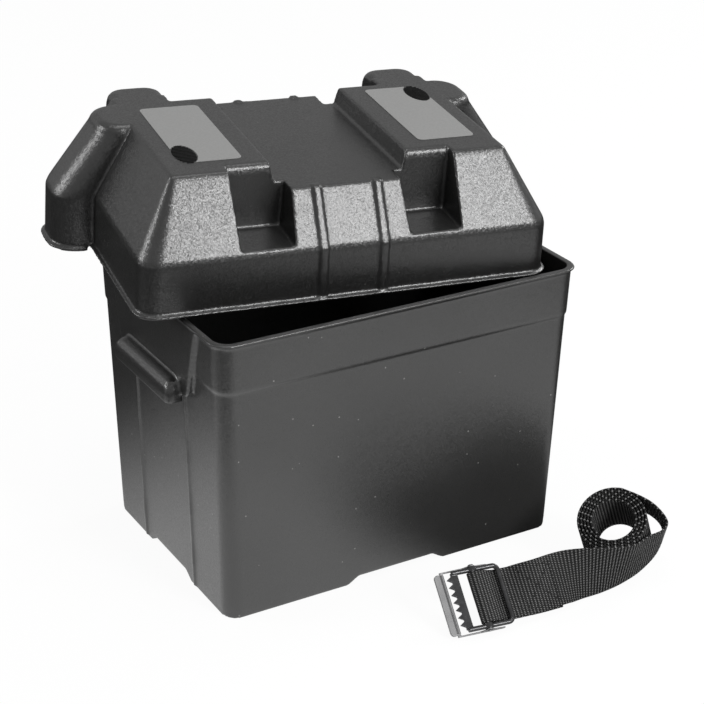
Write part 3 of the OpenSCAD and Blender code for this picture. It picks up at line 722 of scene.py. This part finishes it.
def threadFinish(name, look):
    material, nodes, links, shader = tree(name)
    place = node(nodes, "ShaderNodeTexCoord")
    twist = node(nodes, "ShaderNodeTexNoise", {"Scale": look["twistScale"], "Detail": 2.0})
    links.new(place.outputs["Object"], twist.inputs["Vector"])
    colour = node(nodes, "ShaderNodeMix", {6: look["dark"], 7: look["light"]}, data_type="RGBA")
    links.new(twist.outputs["Fac"], colour.inputs[0])
    links.new(colour.outputs[2], shader.inputs["Base Color"])
    bump = node(nodes, "ShaderNodeBump", {"Strength": look["bump"], "Distance": look["bumpDepth"]})
    links.new(twist.outputs["Fac"], bump.inputs["Height"])
    links.new(bump.outputs[0], shader.inputs["Normal"])
    shader.inputs["Roughness"].default_value = look["rough"]
    return material


threadLook = {
    "twistScale": 3000.0, "dark": (0.002, 0.002, 0.002, 1), "light": (0.008, 0.008, 0.008, 1),
    "rough": 0.6, "bump": 0.5, "bumpDepth": 0.0001,
}
threadBlack = threadFinish("blackThread", threadLook)


def onRun(at, across, lift):  # a point on the run's outer face; at counts knots along the run
    k = at * perKnot
    low = int(k)
    share = k - low
    rows = [(1 - share) * rows[low] + share * rows[low + 1] for rows in (runCentre, runWay, runFace)]
    return Vector(rows[0] + across * rows[1] + lift * rows[2])


def stitchLine(name, start, end, stitch, strap):
    steps = stitch["linePoints"]
    lift = strap["thick"] / 2
    points = []
    for k in range(steps + 1):
        at, across = (a + (b - a) * k / steps for a, b in zip(start, end))
        points.append(tuple(onRun(at, across, lift)))
    mesh = bpy.data.meshes.new(name)
    mesh.from_pydata(points, [(k, k + 1) for k in range(steps)], [])
    return addObject(name, mesh)


def boxAndCross(stitch):
    (near, far), side = stitch["along"], stitch["across"]
    corners = [(near, -side), (far, -side), (far, side), (near, side)]
    lines = [(corners[k], corners[(k + 1) % 4]) for k in range(4)]
    return lines + [(corners[0], corners[2]), (corners[1], corners[3])]


stitches = stitchGroup()
stitchParts = []
for index, (lineStart, lineEnd) in enumerate(boxAndCross(stitchSetup)):
    piece = stitchLine("stitchLine" + str(index), lineStart, lineEnd, stitchSetup, strapSetup)
    runGroup(piece, stitches, {"Pitch": stitchSetup["pitch"], "Length": stitchSetup["length"],
                               "Thickness": stitchSetup["thick"], "Finish": threadBlack})
    stitchParts.append(piece)
joined = bmesh.new()
for piece in stitchParts:
    joined.from_mesh(piece.data)
threadMesh = bpy.data.meshes.new("threadStitching")
joined.to_mesh(threadMesh)
joined.free()
threadMesh.materials.append(threadBlack)
for piece in stitchParts:
    bpy.data.objects.remove(piece)
threadMesh.polygons.foreach_set("use_smooth", [True] * len(threadMesh.polygons))
thread = addObject("threadStitching", threadMesh)
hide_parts("strap_stitching")
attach(thread, "strap")
print("stitching made")


# buckle: the CAD solids with softened edges

def softened(nodeName, name, edge, material, body):
    piece = cadCopy(nodeName, name)
    modifier(piece, "REMESH", mode="VOXEL", voxel_size=edge["voxel"], adaptivity=0.0)
    modifier(piece, "SMOOTH", factor=0.5, iterations=edge["rounds"])
    bake(piece)
    count = sum(len(p.vertices) - 2 for p in piece.data.polygons)
    if count > edge["triangles"]:
        modifier(piece, "DECIMATE", decimate_type="COLLAPSE", ratio=edge["triangles"] / count)
        bake(piece)
    piece.data.materials.append(material)
    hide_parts(nodeName)
    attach(piece, body)
    return piece


buckleEdge = {"voxel": 0.00022, "rounds": 4, "triangles": 60000}
softened("buckle_frame", "buckleFrame", buckleEdge, frameMetal, "strap")
softened("lever_pin", "leverPin", buckleEdge, pinMetal, "strap")
softened("buckle_lever", "buckleLever", buckleEdge, leverMetal, "lever")
print("buckle made")


# floor, backdrop and studio light

stageSetup = {
    "floorSize": 6.0, "floorColour": (0.9, 0.9, 0.9, 1), "white": 0.94, "ambient": 0.45, "backdrop": 0.45,
    "sheenCentre": (0.02, -0.27), "sheenTurn": -38.5, "sheenReach": (0.55, 0.235), "sheenFade": (0.7, 1.6),
    "sheen": (1.0, 0.04), "shadeCentre": (0.125, -0.15, 0.0), "shadeReach": (0.07, 0.15), "shade": 0.04,
}


def makeFloor(stage):
    mesh = bpy.data.meshes.new("studioFloor")
    s = stage["floorSize"]
    mesh.from_pydata([(-s, -s, 0), (s, -s, 0), (s, s, 0), (-s, s, 0)], [], [(0, 1, 2, 3)])
    floor = addObject("studioFloor", mesh)
    material = bpy.data.materials.new("whiteFloor")
    material.use_nodes = True
    nodes, links = material.node_tree.nodes, material.node_tree.links
    nodes.clear()
    out = nodes.new("ShaderNodeOutputMaterial")
    paint = node(nodes, "ShaderNodeBsdfDiffuse", {"Color": stage["floorColour"]})
    glow = node(nodes, "ShaderNodeEmission", {"Color": (1, 1, 1, 1)})
    path = node(nodes, "ShaderNodeLightPath")
    share = node(nodes, "ShaderNodeMath", {1: stage["white"]}, operation="MULTIPLY")
    links.new(path.outputs["Is Camera Ray"], share.inputs[0])
    either = node(nodes, "ShaderNodeMath", operation="MAXIMUM")
    links.new(share.outputs[0], either.inputs[0])
    links.new(path.outputs["Is Glossy Ray"], either.inputs[1])
    # what the plastic mirrors, fitted to the photograph: bright in an oval in front, dark farther off;
    # a fixed dark patch stands for the strap's shade and stays there when the strap is lifted
    place = node(nodes, "ShaderNodeTexCoord")
    x, y = stage["sheenCentre"]
    wide, deep = stage["sheenReach"]
    turn = math.radians(stage["sheenTurn"])
    patch = node(nodes, "ShaderNodeMapping", {"Location": (x, y, 0), "Rotation": (0, 0, turn),
                                              "Scale": (wide, deep, 1)}, vector_type="TEXTURE")
    links.new(place.outputs["Object"], patch.inputs["Vector"])
    away = node(nodes, "ShaderNodeVectorMath", operation="LENGTH")
    links.new(patch.outputs[0], away.inputs[0])
    fade = node(nodes, "ShaderNodeMapRange", {1: stage["sheenFade"][0], 2: stage["sheenFade"][1],
                                              3: stage["sheen"][0], 4: stage["sheen"][1]},
                interpolation_type="SMOOTHSTEP")
    links.new(away.outputs["Value"], fade.inputs[0])
    near = node(nodes, "ShaderNodeVectorMath", {1: stage["shadeCentre"]}, operation="DISTANCE")
    links.new(place.outputs["Object"], near.inputs[0])
    dim = node(nodes, "ShaderNodeMapRange", {1: stage["shadeReach"][0], 2: stage["shadeReach"][1],
                                             3: stage["shade"], 4: 1.0},
               interpolation_type="SMOOTHSTEP")
    links.new(near.outputs["Value"], dim.inputs[0])
    shaded = node(nodes, "ShaderNodeMath", operation="MULTIPLY")
    links.new(fade.outputs[0], shaded.inputs[0])
    links.new(dim.outputs[0], shaded.inputs[1])
    level = node(nodes, "ShaderNodeMix", {2: 1.0})
    links.new(path.outputs["Is Glossy Ray"], level.inputs[0])
    links.new(shaded.outputs[0], level.inputs[3])
    links.new(level.outputs[0], glow.inputs["Strength"])
    mixed = node(nodes, "ShaderNodeMixShader")
    links.new(either.outputs[0], mixed.inputs[0])
    links.new(paint.outputs[0], mixed.inputs[1])
    links.new(glow.outputs[0], mixed.inputs[2])
    links.new(mixed.outputs[0], out.inputs["Surface"])
    mesh.materials.append(material)


def makeWorld(stage):
    world = bpy.data.worlds.new("studioWorld")
    scene.world = world
    world.use_nodes = True
    nodes, links = world.node_tree.nodes, world.node_tree.links
    nodes.clear()
    out = nodes.new("ShaderNodeOutputWorld")
    path = node(nodes, "ShaderNodeLightPath")
    plain = node(nodes, "ShaderNodeBackground", {"Color": (1, 1, 1, 1), "Strength": stage["ambient"]})
    seen = node(nodes, "ShaderNodeBackground", {"Color": (1, 1, 1, 1), "Strength": 1.0})
    glossy = node(nodes, "ShaderNodeBackground", {"Color": (1, 1, 1, 1), "Strength": stage["backdrop"]})
    first, second = node(nodes, "ShaderNodeMixShader"), node(nodes, "ShaderNodeMixShader")
    links.new(path.outputs["Is Glossy Ray"], first.inputs[0])
    links.new(plain.outputs[0], first.inputs[1])
    links.new(glossy.outputs[0], first.inputs[2])
    links.new(path.outputs["Is Camera Ray"], second.inputs[0])
    links.new(first.outputs[0], second.inputs[1])
    links.new(seen.outputs[0], second.inputs[2])
    links.new(second.outputs[0], out.inputs["Surface"])


def softbox(name, lamp):
    data = bpy.data.lights.new(name, "AREA")
    data.shape = "RECTANGLE"
    data.size, data.size_y = lamp["size"]
    data.energy = lamp["watts"]
    made = bpy.data.objects.new(name, data)
    scene.collection.objects.link(made)
    way = Vector(lampAim) - Vector(lamp["place"])
    made.rotation_mode = "QUATERNION"
    made.rotation_quaternion = way.to_track_quat("-Z", "Y")
    made.location = lamp["place"]


lampAim = (0.0, 0.0, 0.2)
lamps = {
    "frontSoftbox": {"place": (0.52, -2.08, 1.29), "size": (0.65, 0.65), "watts": 35},
    "cornerSoftbox": {"place": (1.19, -1.7, 1.4), "size": (0.65, 0.65), "watts": 5},
    "rightSoftbox": {"place": (2.05, 0.36, 1.4), "size": (0.65, 0.65), "watts": 18},
    "leftSoftbox": {"place": (-1.95, 1.13, 1.02), "size": (0.65, 0.65), "watts": 15},
    "topSoftbox": {"place": (0.0, -0.08, 2.4), "size": (1.2, 1.2), "watts": 12},
}
makeFloor(stageSetup)
makeWorld(stageSetup)
for lampName, lamp in lamps.items():
    softbox(lampName, lamp)
scene.view_settings.view_transform = "Standard"
print("stage and light made")
